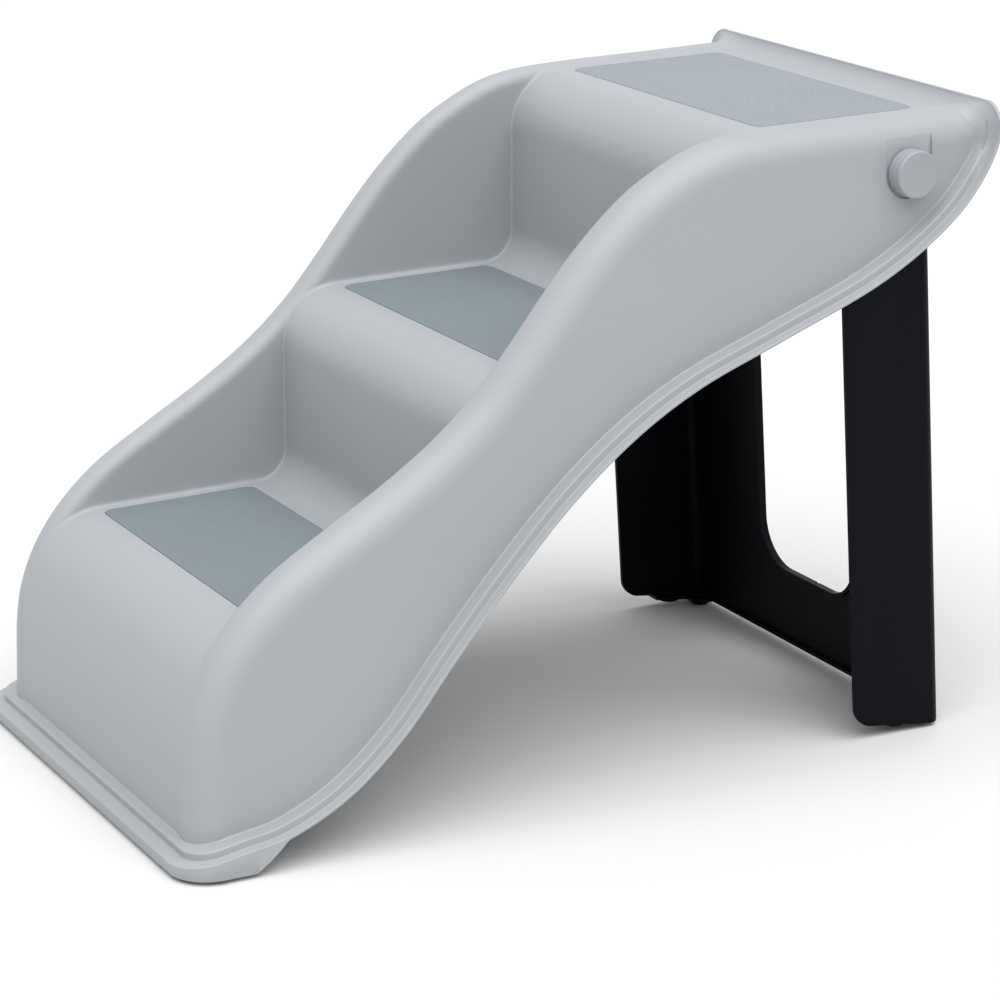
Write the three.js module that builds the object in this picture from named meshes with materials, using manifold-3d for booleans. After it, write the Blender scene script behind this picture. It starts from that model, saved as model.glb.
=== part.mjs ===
// Folding pet stairs: one moulded shell with three treads, and a leg frame that folds in under it.
// Millimetres, +Z up, +Y is the way up the stairs and +X the climber's right.
import * as THREE from "three";
import { mergeVertices } from "three/addons/utils/BufferGeometryUtils.js";
import Module from "manifold-3d";

// Overall size
const totalLength = 656;
const totalWidth = 406;
const totalHeight = 484;

// Fits
const gap = 0.3; // between pieces that touch
const cutOverrun = 6; // how far a cut runs past the material

// Shell walls and rim
const shellWall = 3;
const rimEdge = 2.3; // thickness of the outer flange
const rimStep = 5.9; // height of the step between the two ledges
const outerLedge = 7.7;
const innerLedge = 12.3;
const frontOuterLedge = 11;
const ledgeSheet = 2.5;
const skirtWall = 3;
const skirtLift = 3; // skirt above the floor
const skirtLength = 54;
const skirtSlope = 24; // length of the slanted end of the skirt
const planCorner = 30;
const planInnerCorner = 22;
const lipHeight = 5.5;
const lipCorner = 22;
const lipInnerCorner = 15;

// Side rails and treads
const railWidth = 36;
const railOuterRound = 22;
const railInnerRound = 10;
const wallDraft = Math.tan(THREE.MathUtils.degToRad(1));
const frontWallSink = 1; // front wall and platform behind the rails' own faces
const footSetback = 30; // depth of the rail's lowest section
const treadSlope = 0.018;
const noseDepth = 60;
const noseHeight = 85;
const riserNose = 43;
const riserFillet = 25;
const riserShares = [0.3636, 0.6684]; // places of the two risers along the length
const treadShares = [0.345, 0.66, 0.974]; // heights of the treads at their front ends

// Mats
const matMargin = 9; // from the mat's side to the rail
const matThickness = 1.6;
const matSink = 1;
const matCorner = 9;
const matClearances = {
  bottom: { front: 1, rear: 8 },
  middle: { front: 2.5, rear: 1 },
  top: { front: 4.5, rear: 26 },
};

// Ribs under the treads
const ribDepth = 8;
const ribThickness = 2.6;
const ribPlaceShare = 0.31; // of the tread's half width
const ribEnd = 28; // ends this far ahead of the hinge line

// Hinge
const pivotSetback = 68; // hinge line from the rear edge
const pivotDepth = 34.4; // hinge line below the platform's front end
const pinRadius = 8;
const pinBore = 2.2;
const capRadius = 17.5;
const capChamfer = 1.2;
const capRise = 12.5; // outer face of the cap beyond the foot of the wall
const pocketDepth = 1.6;
const pocketRadius = 19.6;
const bossRadius = 15;
const washerRadius = 10;
const washerThickness = 2;
const screwRadius = 1.9;
const screwLength = 13;
const screwHeadRadius = 4;
const screwHeadHeight = 2.6;
const screwHeadRound = 0.9;

// Leg frame
const legSideGap = 2.4; // between the shell wall and the leg
const legWall = 3;
const legLean = 0.0645; // how far the leg runs back for each unit down
const legFrontReach = 56;
const legRearReach = 23;
const legTopReach = 18; // round top of the leg's side, from the hinge line
const legShoulderDrop = 45;
const legShoulderRound = 22;
const legRearGap = 2; // rear bottom corner above the floor
const legFrontGap = 12;
const legFrontCorner = 14;
const legRearCorner = 8;
const legPlanCorner = 10;
const legLip = 6;
const legPanelDrop = 22; // top edge of the back panel below the pivot
const legBossThickness = 2;
const windowShare = 0.383; // half width of the window, of the leg's
const windowBottom = 66;
const windowDrop = 92; // top of the window below the hinge line
const windowBottomCorner = 37;
const windowTopCorner = 24;
const webWidth = 17.6; // bottom web beside the leg's side
const webReach = 32;
const seatWidth = 27.6; // wider part of the web that holds the inner foot
const seatReach = 2;
const stopRib = 3.5;
const stopDrop = 32;

// Rubber feet
const footStem = 4;
const footStemHead = 1.2;
const legFeet = {
  outer: { inset: 9.5, back: -16, radius: 9, lift: 5 },
  inner: { inset: 17.6, back: 10, radius: 7, lift: 0 },
};
const frontFootInset = 22;
const frontFoot = { radius: 12, lift: 0 };
const footShelf = 3;
const footShelfReach = 38;

// The three side outlines, as shares of the length and the height
const rimShares = [
  [0, 0.019], [0.068, 0.036], [0.121, 0.049], [0.189, 0.093], [0.254, 0.168],
  [0.319, 0.275], [0.387, 0.381], [0.463, 0.486], [0.539, 0.568], [0.613, 0.625],
  [0.719, 0.681], [0.842, 0.747], [0.912, 0.803], [0.958, 0.857], [0.987, 0.914],
  [0.998, 0.957], [1, 1],
];
const crestShares = [
  [0.0245, 0.04], [0.0255, 0.1], [0.028, 0.175], [0.035, 0.229], [0.054, 0.292],
  [0.086, 0.353], [0.132, 0.41], [0.197, 0.465], [0.265, 0.519], [0.326, 0.575],
  [0.374, 0.632], [0.413, 0.692], [0.467, 0.783], [0.507, 0.844], [0.556, 0.903],
  [0.59, 0.932], [0.632, 0.959], [0.672, 0.973], [0.738, 0.98], [0.866, 0.984],
  [0.988, 0.988],
];
const railFootShare = 0.955; // the last stretch of the rim stands upright behind the rail
const rimSteps = 48;
const railStations = 44;
const arcSteps = 4;
const cornerSteps = 6;
const roundSteps = 24;

// Sizes and places that follow from the driving sizes
const halfWidth = totalWidth * 0.5;
const stepHalfWidth = halfWidth - outerLedge;
const wallHalfWidth = stepHalfWidth - innerLedge;
const railInner = wallHalfWidth - railWidth;
const trunkHalfWidth = railInner + railInnerRound;
const matHalfWidth = railInner - matMargin;
const rimStack = rimEdge + rimStep;
const wallBase = rimStack - ledgeSheet * 1.2;
const [firstRiser, secondRiser] = riserShares.map((share) => share * totalLength);
const [bottomHeight, middleHeight, platformHeight] = treadShares.map((share) => share * totalHeight);
const pivotPlace = totalLength - pivotSetback;
const pivotHeight = platformHeight - pivotDepth;
const capFace = wallHalfWidth + capRise;
const pocketFloor = wallHalfWidth - pocketDepth;
const legHalfWidth = wallHalfWidth - shellWall - legSideGap;
const windowHalfWidth = legHalfWidth * windowShare;
const windowTop = pivotHeight - windowDrop;
const frontFootX = halfWidth - frontFootInset;
const wallTop = crestShares[2][0] * totalLength + frontWallSink;

// Each tread's flat: where its front end lies, how high, and where its riser rises.
const flats = {
  bottom: { front: wallTop + noseDepth, height: bottomHeight, rear: firstRiser - riserFillet },
  middle: { front: firstRiser + riserNose, height: middleHeight, rear: secondRiser - riserFillet },
  top: { front: secondRiser + riserNose, height: platformHeight, rear: totalLength - rimStack },
};
const flatAt = ({ front, height }, y) => height + (y - front) * treadSlope;

const wasm = await Module();
wasm.setup();

// Outline helpers. An outline is a list of [across, up] points.

// Corners are [across, up, setback before, setback after]; setbacks round the corner between them.
function roundedOutline(corners, steps = arcSteps, closed = true) {
  const points = [];
  corners.forEach(([across, up, before = 0, after = before], i) => {
    if (!before || (!closed && (i === 0 || i === corners.length - 1))) {
      points.push([across, up]);
      return;
    }
    const corner = new THREE.Vector2(across, up);
    const last = corners[(i + corners.length - 1) % corners.length];
    const next = corners[(i + 1) % corners.length];
    const back = new THREE.Vector2(last[0], last[1]).sub(corner).setLength(before);
    const ahead = new THREE.Vector2(next[0], next[1]).sub(corner).setLength(after);
    for (let s = 0; s <= steps; s++) {
      const turn = (s / steps) * Math.PI * 0.5;
      const place = corner.clone();
      place.addScaledVector(back, 1 - Math.sin(turn));
      place.addScaledVector(ahead, 1 - Math.cos(turn));
      points.push([place.x, place.y]);
    }
  });
  return points;
}

function circleOutline(across, up, radius, steps = roundSteps) {
  return Array.from({ length: steps }, (_, i) => {
    const turn = (i / steps) * Math.PI * 2;
    return [across + radius * Math.cos(turn), up + radius * Math.sin(turn)];
  });
}

function smoothOutline(shares, steps) {
  const places = shares.map(([y, z]) => new THREE.Vector3(y * totalLength, z * totalHeight, 0));
  const curve = new THREE.CatmullRomCurve3(places, false, "centripetal");
  return curve.getSpacedPoints(steps).map((p) => [p.x, p.y]);
}

function leftNormals(points) {
  return points.map((_, i) => {
    const before = points[Math.max(i - 1, 0)];
    const after = points[Math.min(i + 1, points.length - 1)];
    return new THREE.Vector2(before[1] - after[1], after[0] - before[0]).normalize();
  });
}

// Moves an open line to its left by a distance.
function offsetOutline(points, distance) {
  const normals = leftNormals(points);
  return points.map(([y, z], i) => [y + normals[i].x * distance, z + normals[i].y * distance]);
}

function pointAt(points, across) {
  const i = Math.max(1, points.findIndex((p) => p[0] >= across));
  const [y0, z0] = points[i - 1];
  const [y1, z1] = points[i];
  return z0 + ((z1 - z0) * (across - y0)) / (y1 - y0);
}

// Solid helpers

function solidFrom(geometry) {
  const plain = new THREE.BufferGeometry();
  plain.setAttribute("position", geometry.getAttribute("position"));
  if (geometry.index) plain.setIndex(geometry.index);
  const merged = mergeVertices(plain, 1e-4);
  const mesh = new wasm.Mesh({
    numProp: 3,
    vertProperties: merged.getAttribute("position").array,
    triVerts: new Uint32Array(merged.index.array),
  });
  return new wasm.Manifold(mesh);
}

function prism(outline, from, to, basis) {
  const shape = new THREE.Shape(outline.map(([a, b]) => new THREE.Vector2(a, b)));
  const geometry = new THREE.ExtrudeGeometry(shape, { depth: to - from, bevelEnabled: false });
  geometry.translate(0, 0, from);
  geometry.applyMatrix4(basis);
  return solidFrom(geometry);
}

const axisX = new THREE.Vector3(1, 0, 0);
const axisY = new THREE.Vector3(0, 1, 0);
const axisZ = new THREE.Vector3(0, 0, 1);
const alongX = new THREE.Matrix4().makeBasis(axisY, axisZ, axisX);
const alongY = new THREE.Matrix4().makeBasis(axisX, axisZ.clone().negate(), axisY);
const alongZ = new THREE.Matrix4();
const legShear = new THREE.Matrix4().set(
  1, 0, 0, 0,
  0, 1, -legLean, pivotHeight * legLean,
  0, 0, 1, 0,
  0, 0, 0, 1,
);

// Outlines: [y, z] for prismX, [x, z] for prismY, [x, y] for prismZ.
const prismX = (outline, from, to) => prism(outline, from, to, alongX);
const prismZ = (outline, from, to, lean = alongZ) => prism(outline, from, to, lean);
function prismY(outline, from, to, lean = new THREE.Matrix4()) {
  const flipped = outline.map(([x, z]) => [x, -z]);
  return prism(flipped, from, to, lean.clone().multiply(alongY));
}

// A turned solid on the X axis from [radius, x] points that start and end on the axis.
function turnedX(profile, y, z, side) {
  const points = profile.map(([radius, x]) => new THREE.Vector2(radius, x));
  const geometry = new THREE.LatheGeometry(points, roundSteps);
  geometry.rotateZ(-Math.PI * 0.5);
  if (side < 0) geometry.rotateZ(Math.PI);
  geometry.translate(0, y, z);
  return solidFrom(geometry);
}

// A turned solid on a vertical axis from [radius, z] points that start and end on the axis.
function turnedZ(profile, x, y) {
  const points = profile.map(([radius, z]) => new THREE.Vector2(radius, z));
  const geometry = new THREE.LatheGeometry(points, roundSteps);
  geometry.rotateX(Math.PI * 0.5);
  geometry.translate(x, y, 0);
  return solidFrom(geometry);
}

// Profile of a plain disc, and a turned solid on the hinge line.
const disc = (radius, from, to) => [[0, from], [radius, from], [radius, to], [0, to]];
const atHinge = (profile, side) => turnedX(profile, pivotPlace, pivotHeight, side);

const union = (...solids) => solids.reduce((all, one) => all.add(one));
const bothSides = (make) => union(make(1), make(-1));

function toMesh(name, solid, material) {
  const data = solid.getMesh();
  const geometry = new THREE.BufferGeometry();
  const places = new Float32Array(data.numVert * 3);
  for (let i = 0; i < data.numVert; i++) {
    places.set(data.vertProperties.subarray(i * data.numProp, i * data.numProp + 3), i * 3);
  }
  geometry.setAttribute("position", new THREE.BufferAttribute(places, 3));
  geometry.setIndex(new THREE.BufferAttribute(data.triVerts, 1));
  geometry.computeVertexNormals();
  const mesh = new THREE.Mesh(geometry, material);
  mesh.name = name;
  return mesh;
}

const rimLine = smoothOutline(rimShares, rimSteps);
const crestLine = smoothOutline(crestShares, railStations);
const belowFloor = -cutOverrun;
const pastRear = totalLength + cutOverrun;

const footLine = offsetOutline(rimLine, wallBase);

// Closes a line that runs from front to rear with everything below and behind it.
function closedBelow(line) {
  const [frontY] = line[0];
  const [, rearZ] = line[line.length - 1];
  const corners = [[frontY, belowFloor], [pastRear, belowFloor], [pastRear, rearZ]];
  return [...corners, ...line.slice().reverse()];
}

// The line of the treads, from the foot of the front wall to the rear of the platform.
function treadLine() {
  const [footY, footZ] = crestLine[0];
  const rearY = totalLength - wallBase;
  const corners = [
    [footY + frontWallSink, footZ],
    [wallTop, flatAt(flats.bottom, wallTop), noseHeight, noseDepth],
    [firstRiser, flatAt(flats.bottom, firstRiser), riserFillet],
    [firstRiser, flatAt(flats.middle, firstRiser), riserNose],
    [secondRiser, flatAt(flats.middle, secondRiser), riserFillet],
    [secondRiser, flatAt(flats.top, secondRiser), riserNose],
    [rearY, flatAt(flats.top, rearY)],
  ];
  return roundedOutline(corners, arcSteps + 2, false);
}

// Closed skin over sections that have the same number of points.
function loftGeometry(sections) {
  const count = sections[0].length;
  const flat = sections[0].map((p) => new THREE.Vector2(p.x, p.y));
  const places = sections.flat().flatMap((p) => [p.x, p.y, p.z]);
  const triangles = [];
  for (let i = 0; i + 1 < sections.length; i++) {
    for (let j = 0; j < count; j++) {
      const a = i * count + j;
      const b = i * count + ((j + 1) % count);
      triangles.push(a, b, a + count, b, b + count, a + count);
    }
  }
  const lastRing = (sections.length - 1) * count;
  for (const [a, b, c] of THREE.ShapeUtils.triangulateShape(flat, [])) {
    triangles.push(a, c, b);
    triangles.push(a + lastRing, b + lastRing, c + lastRing);
  }
  const geometry = new THREE.BufferGeometry();
  geometry.setAttribute("position", new THREE.Float32BufferAttribute(places, 3));
  geometry.setIndex(triangles);
  return geometry;
}

function mirrored(geometry) {
  geometry.scale(-1, 1, 1);
  const order = geometry.index.array;
  for (let i = 0; i < order.length; i += 3) [order[i], order[i + 1]] = [order[i + 1], order[i]];
  return geometry;
}

// A side rail, as sections that run from the rim up to the crest and back down.
function railLoft(side, inset, baseDrop) {
  const railFoot = footLine.filter(([y]) => y >= crestLine[0][0] + footSetback);
  const lower = new THREE.CatmullRomCurve3(railFoot.map(([y, z]) => new THREE.Vector3(y, z, 0)));
  const normals = leftNormals(crestLine);
  const inner = railInner + inset;
  const outer = wallHalfWidth - inset;
  const sections = crestLine.map(([y, z], i) => {
    const foot = lower.getPointAt((i / railStations) * railFootShare);
    const down = new THREE.Vector2(foot.x - y, foot.y - z);
    const depth = down.length();
    down.normalize();
    const start = inset / Math.max(0.5, -down.dot(normals[i]));
    const innerRound = Math.min(railInnerRound - inset, depth - start);
    const outerRound = Math.min(railOuterRound - inset, depth - start);
    const section = [[inner, depth + baseDrop]];
    for (let s = 0; s <= arcSteps; s++) {
      const turn = (s / arcSteps) * Math.PI * 0.5;
      const drop = start + innerRound * (1 - Math.sin(turn));
      section.push([inner + innerRound * (1 - Math.cos(turn)), drop]);
    }
    for (let s = 0; s <= arcSteps; s++) {
      const turn = (s / arcSteps) * Math.PI * 0.5;
      const drop = start + outerRound * (1 - Math.cos(turn));
      const lean = wallDraft * Math.max(0, depth - drop);
      section.push([outer - lean - outerRound * (1 - Math.sin(turn)), drop]);
    }
    section.push([outer, depth + baseDrop]);
    return section.map(([x, d]) => new THREE.Vector3(x, y + down.x * d, z + down.y * d));
  });
  const geometry = loftGeometry(sections);
  return solidFrom(side > 0 ? geometry : mirrored(geometry));
}

// The rim's outer edges and those of the step in it, as insets and corners.
const rimEdges = { side: 0, front: 0, top: 0, corner: planCorner, topCorner: lipCorner };
const ledgeEdges = {
  side: outerLedge,
  front: frontOuterLedge,
  top: lipHeight,
  corner: planInnerCorner,
  topCorner: lipInnerCorner,
};

// Plan and rear view of the rim; inset draws an edge in further.
function planColumn({ side, front, corner }, inset = 0) {
  const x = halfWidth - side - inset;
  const y = front + inset;
  const rear = pastRear + cutOverrun;
  const corners = [[-x, y, corner], [x, y, corner], [x, rear], [-x, rear]];
  const outline = roundedOutline(corners, cornerSteps);
  return prismZ(outline, belowFloor - cutOverrun, totalHeight + cutOverrun);
}

function rearColumn({ side, top, topCorner }, inset = 0) {
  const x = halfWidth - side - inset;
  const high = totalHeight - top - inset;
  const low = belowFloor - cutOverrun;
  const corners = [[-x, low], [x, low], [x, high, topCorner], [-x, high, topCorner]];
  return prismY(roundedOutline(corners, cornerSteps), -cutOverrun, pastRear + cutOverrun);
}

function rimPlate(thickness, edges) {
  const band = [...rimLine, ...offsetOutline(rimLine, thickness).reverse()];
  const plate = prismX(band, -halfWidth, halfWidth);
  return plate.intersect(planColumn(edges)).intersect(rearColumn(edges));
}

const treads = treadLine();
const skirtEnd = skirtLength + skirtSlope;

function shellOutside() {
  const trunkFoot = footLine.filter(([y, z]) => y > treads[0][0] && z < platformHeight);
  const trunk = prismX([...treads, ...trunkFoot.reverse()], -trunkHalfWidth, trunkHalfWidth);
  const rails = bothSides((side) => railLoft(side, 0, 0));
  const outerPlate = rimPlate(rimEdge, rimEdges);
  const innerPlate = rimPlate(rimStack, ledgeEdges);
  const skirtTop = offsetOutline(rimLine, rimEdge * 0.5).filter(([y]) => y < skirtEnd);
  const skirtFoot = [[-cutOverrun, skirtLift], [skirtLength, skirtLift]];
  const skirtOutline = [...skirtFoot, [skirtEnd, pointAt(rimLine, skirtEnd)], ...skirtTop.reverse()];
  const skirt = prismX([...skirtOutline, [-cutOverrun, skirtTop.at(-1)[1]]], -halfWidth, halfWidth);
  const skirtRing = skirt.intersect(planColumn(rimEdges));
  return union(trunk, rails, outerPlate, innerPlate, skirtRing);
}

function shellInside() {
  const trunk = prismX(closedBelow(offsetOutline(treads, -shellWall)), -trunkHalfWidth, trunkHalfWidth);
  const rails = bothSides((side) => railLoft(side, shellWall, wallBase));
  const sheetUnder = offsetOutline(rimLine, rimStack - ledgeSheet);
  const underLedge = prismX(closedBelow(sheetUnder), -halfWidth, halfWidth)
    .intersect(planColumn(ledgeEdges, ledgeSheet))
    .intersect(rearColumn(ledgeEdges, ledgeSheet));
  const skirtInside = { ...rimEdges, corner: planCorner - skirtWall };
  const underRim = prismX(closedBelow(rimLine), -halfWidth, halfWidth)
    .intersect(planColumn(skirtInside, skirtWall));
  return union(trunk, rails, underLedge, underRim);
}

// Ribs that follow the underside of the treads.
function treadRibs() {
  const end = pivotPlace - ribEnd;
  const upToEnd = (line) => [...line.filter(([y]) => y < end), [end, pointAt(line, end)]];
  const root = upToEnd(offsetOutline(treads, -shellWall * 0.5));
  const edge = upToEnd(offsetOutline(treads, -shellWall - ribDepth));
  const outline = [...root, ...edge.reverse()];
  const halfRib = ribThickness * 0.5;
  const ribPlace = railInner * ribPlaceShare;
  return bothSides((side) => prismX(outline, side * ribPlace - halfRib, side * ribPlace + halfRib));
}

// A point of the leg in the side view: height, and how far it lies behind the hinge line.
const legPoint = (height, back) => [pivotPlace + back + (pivotHeight - height) * legLean, height];

// Cross rib that the leg's back panel rests against when it stands.
function legStop() {
  const near = legRearReach + gap;
  const far = near + stopRib;
  const low = pivotHeight - stopDrop;
  const high = platformHeight;
  const outline = [legPoint(low, near), legPoint(low, far), legPoint(high, far), legPoint(high, near)];
  const reach = wallHalfWidth - shellWall * 0.5;
  return prismX(outline, -reach, reach);
}

function shellSolid() {
  const wallMiddle = wallHalfWidth - shellWall * 0.5;
  const boss = bothSides((side) => atHinge(disc(bossRadius, legHalfWidth + gap, wallMiddle), side));
  const pinHole = circleOutline(pivotPlace, pivotHeight, pinRadius + gap);
  const pocketTop = pivotHeight + railOuterRound + pocketRadius * 0.5;
  const pocket = roundedOutline([
    [pivotPlace - pocketRadius, pocketTop],
    [pivotPlace - pocketRadius, pivotHeight - pocketRadius, pocketRadius],
    [pivotPlace + pocketRadius, pivotHeight - pocketRadius, pocketRadius],
    [pivotPlace + pocketRadius, pocketTop],
  ], cornerSteps);
  const shelf = bothSides((side) => footSeat(side));
  const outside = shellOutside();
  let shell = outside.subtract(shellInside());
  shell = union(shell, treadRibs(), legStop().intersect(outside), boss, shelf);
  shell = shell.subtract(prismX(pinHole, -halfWidth, halfWidth));
  shell = shell.subtract(prismX(pocket, pocketFloor, halfWidth));
  shell = shell.subtract(prismX(pocket, -halfWidth, -pocketFloor));
  const stemHole = disc(footStem + gap, 0, skirtLift + footShelf * 2);
  shell = shell.subtract(bothSides((side) => turnedZ(stemHole, side * frontFootX, frontFootInset)));
  for (const place of Object.keys(flats)) {
    shell = shell.subtract(matBlock(place, gap, matSink + gap, cutOverrun));
  }
  return shell;
}

// Shelf in a front corner that carries the rubber foot.
function footSeat(side) {
  const inner = halfWidth - frontFootInset - frontFoot.radius;
  const halfSkirt = skirtWall * 0.5;
  const outer = halfWidth - halfSkirt;
  const corners = [
    [inner, halfSkirt],
    [outer, halfSkirt],
    [outer, footShelfReach, skirtWall],
    [inner, footShelfReach, skirtWall],
  ];
  const placed = corners.map(([x, y, r]) => [side * x, y, r]);
  const outline = roundedOutline(side > 0 ? placed : placed.reverse());
  const shelf = prismZ(outline, skirtLift, skirtLift + footShelf);
  return shelf.intersect(planColumn({ ...rimEdges, corner: planCorner - halfSkirt }, halfSkirt));
}

// A block with the mat's outline on its tread; grow widens it all round.
function matBlock(place, grow, sink, rise) {
  const flat = flats[place];
  const from = flat.front + matClearances[place].front;
  const length = flat.rear - matClearances[place].rear - from;
  const x = matHalfWidth + grow;
  const corner = matCorner + grow;
  const rear = length + grow;
  const corners = [[-x, -grow, corner], [x, -grow, corner], [x, rear, corner], [-x, rear, corner]];
  const onTread = new THREE.Matrix4().makeRotationX(Math.atan(treadSlope));
  onTread.setPosition(0, from, flatAt(flat, from));
  return prismZ(roundedOutline(corners, cornerSteps), -sink, rise, onTread);
}

const webSlope = (legFrontGap - legRearGap) / (legFrontReach + legRearReach);

function legSolid() {
  const roofZ = totalHeight;
  const ahead = -legFrontReach - cutOverrun;
  const bottomAt = (back) => legRearGap + (legRearReach - back) * webSlope;
  const sideView = roundedOutline([
    [...legPoint(legRearGap, legRearReach), legRearCorner],
    [...legPoint(pivotHeight + legTopReach, legRearReach), legTopReach],
    [...legPoint(pivotHeight + legTopReach, -legTopReach), legTopReach],
    [...legPoint(pivotHeight - legShoulderDrop, -legFrontReach), legShoulderRound],
    [...legPoint(legFrontGap, -legFrontReach), legFrontCorner],
  ]);
  const plan = (x, back, corner) => roundedOutline([
    [-x, pivotPlace + ahead], [x, pivotPlace + ahead],
    [x, pivotPlace + back, corner], [-x, pivotPlace + back, corner],
  ]);
  const innerX = legHalfWidth - legWall;
  const outerPlan = plan(legHalfWidth, legRearReach, legPlanCorner);
  const innerPlan = plan(innerX, legRearReach - legWall, legPlanCorner - legWall);
  const outer = prismX(sideView, -legHalfWidth, legHalfWidth)
    .intersect(prismZ(outerPlan, belowFloor, roofZ, legShear));
  const hollow = prismX([
    legPoint(bottomAt(ahead) + legWall, ahead),
    legPoint(bottomAt(legRearReach) + legWall, legRearReach),
    legPoint(roofZ, legRearReach),
    legPoint(roofZ, ahead),
  ], -legHalfWidth, legHalfWidth).intersect(prismZ(innerPlan, belowFloor, roofZ, legShear));
  const panelTop = pivotHeight - legPanelDrop;
  const pastPanel = legRearReach + legWall;
  const overPanel = prismX([
    legPoint(panelTop, ahead),
    legPoint(panelTop, pastPanel),
    legPoint(roofZ, pastPanel),
    legPoint(roofZ, ahead),
  ], -innerX + legPlanCorner, innerX - legPlanCorner);
  const lipBack = legRearReach - legLip;
  const webTop = windowBottom * 0.5;
  const openBelow = (back, x) => prismX([
    legPoint(belowFloor, ahead),
    legPoint(belowFloor, back),
    legPoint(webTop, back),
    legPoint(webTop, ahead),
  ], -x, x);
  const belowCuts = union(
    openBelow(lipBack, legHalfWidth - seatWidth),
    openBelow(-seatReach, legHalfWidth - webWidth),
    openBelow(-webReach, innerX),
  );
  const windowOutline = (grow) => roundedOutline([
    [-windowHalfWidth - grow, windowBottom - grow, windowBottomCorner + grow],
    [windowHalfWidth + grow, windowBottom - grow, windowBottomCorner + grow],
    [windowHalfWidth + grow, windowTop + grow, windowTopCorner + grow],
    [-windowHalfWidth - grow, windowTop + grow, windowTopCorner + grow],
  ], cornerSteps);
  const panelMiddle = pivotPlace + legRearReach - legWall * 0.5;
  const lipRing = prismY(windowOutline(legWall), pivotPlace + lipBack, panelMiddle, legShear);
  const pastPlace = pivotPlace + pastPanel;
  const windowCut = prismY(windowOutline(0), pivotPlace - legFrontReach, pastPlace, legShear);
  const bossProfile = disc(bossRadius, innerX - legBossThickness, innerX + legWall * 0.5);
  const boss = bothSides((side) => atHinge(bossProfile, side));
  let leg = outer.subtract(hollow).subtract(overPanel).subtract(belowCuts);
  leg = union(leg, lipRing, boss).subtract(windowCut);
  const pinHole = circleOutline(pivotPlace, pivotHeight, pinRadius + gap);
  leg = leg.subtract(prismX(pinHole, -halfWidth, halfWidth));
  const stemHole = disc(footStem + gap, belowFloor, webTop);
  for (const foot of Object.values(legFeet)) {
    const footX = legHalfWidth - foot.inset;
    leg = leg.subtract(bothSides((side) => turnedZ(stemHole, side * footX, footPlace(foot))));
  }
  return leg;
}

// Where a leg foot lies behind the line that runs down from the hinge.
const footPlace = (foot) => legPoint(0, foot.back)[0];

// Rubber foot: a pad under a plate, a stem through the plate, and a head that holds it there.
function footSolid(x, y, { radius, lift }, plate) {
  const under = (across) => plate.under + (y - across) * plate.slope - gap;
  const top = plate.under * 2;
  const padOutline = [[0, lift], [radius - gap, lift], [radius, lift + gap], [radius, top], [0, top]];
  const [front, rear] = [y - radius * 2, y + radius * 2];
  const below = prismX([
    [front, belowFloor],
    [rear, belowFloor],
    [rear, under(rear)],
    [front, under(front)],
  ], x - radius * 2, x + radius * 2);
  const headRadius = footStem + footStemHead;
  const headLow = plate.under + plate.thickness + gap + headRadius * Math.abs(plate.slope);
  const stem = turnedZ([
    [0, lift + gap],
    [footStem, lift + gap],
    [footStem, headLow],
    [headRadius, headLow],
    [footStem, headLow + footStemHead],
    [0, headLow + footStemHead],
  ], x, y);
  return union(turnedZ(padOutline, x, y).intersect(below), stem);
}

// The hinge parts lie one behind the other on the hinge line, inwards from the cap.
function pinProfile() {
  const innerEnd = legHalfWidth - legWall - legBossThickness - gap;
  const boreEnd = innerEnd + screwLength - washerThickness + gap;
  const underCap = pocketFloor + gap;
  return [
    [0, boreEnd],
    [pinBore, boreEnd],
    [pinBore, innerEnd],
    [pinRadius, innerEnd],
    [pinRadius, underCap],
    [capRadius, underCap],
    [capRadius, capFace - capChamfer],
    [capRadius - capChamfer, capFace],
    [0, capFace],
  ];
}

function washerSolid(side) {
  const outerFace = legHalfWidth - legWall - legBossThickness - gap * 2;
  const innerFace = outerFace - washerThickness;
  const ring = atHinge(disc(washerRadius, innerFace, outerFace), side);
  return ring.subtract(atHinge(disc(pinBore, innerFace - gap, outerFace + gap), side));
}

function screwProfile() {
  const headTop = legHalfWidth - legWall - legBossThickness - gap * 3 - washerThickness;
  const headEnd = headTop - screwHeadHeight;
  const tip = headTop + screwLength;
  return [
    [0, headEnd],
    [screwHeadRadius - screwHeadRound, headEnd],
    [screwHeadRadius, headEnd + screwHeadRound],
    [screwHeadRadius, headTop],
    [screwRadius, headTop],
    [screwRadius, tip],
    [0, tip],
  ];
}

const finish = (color, roughness, metalness = 0) =>
  new THREE.MeshStandardMaterial({ color, roughness, metalness });
const shellPlastic = finish(0xaeb4b8, 0.5);
const capPlastic = finish(0xb2b8bc, 0.45);
const matRubber = finish(0x8c979e, 0.85);
const legPlastic = finish(0x1a1b1e, 0.55);
const footRubber = finish(0x121314, 0.9);
const padRubber = finish(0x8e9498, 0.9);
const steel = finish(0xb8bcc0, 0.35, 1);

const stairs = new THREE.Group();
stairs.name = "pet_stairs";
stairs.position.y = -totalLength * 0.5;
const addPiece = (name, solid, material) => stairs.add(toMesh(name, solid, material.clone()));

addPiece("step_shell", shellSolid(), shellPlastic);
for (const place of Object.keys(flats)) {
  addPiece("tread_mat_" + place, matBlock(place, 0, matSink, matThickness - matSink), matRubber);
}
addPiece("leg_frame", legSolid(), legPlastic);

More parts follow.
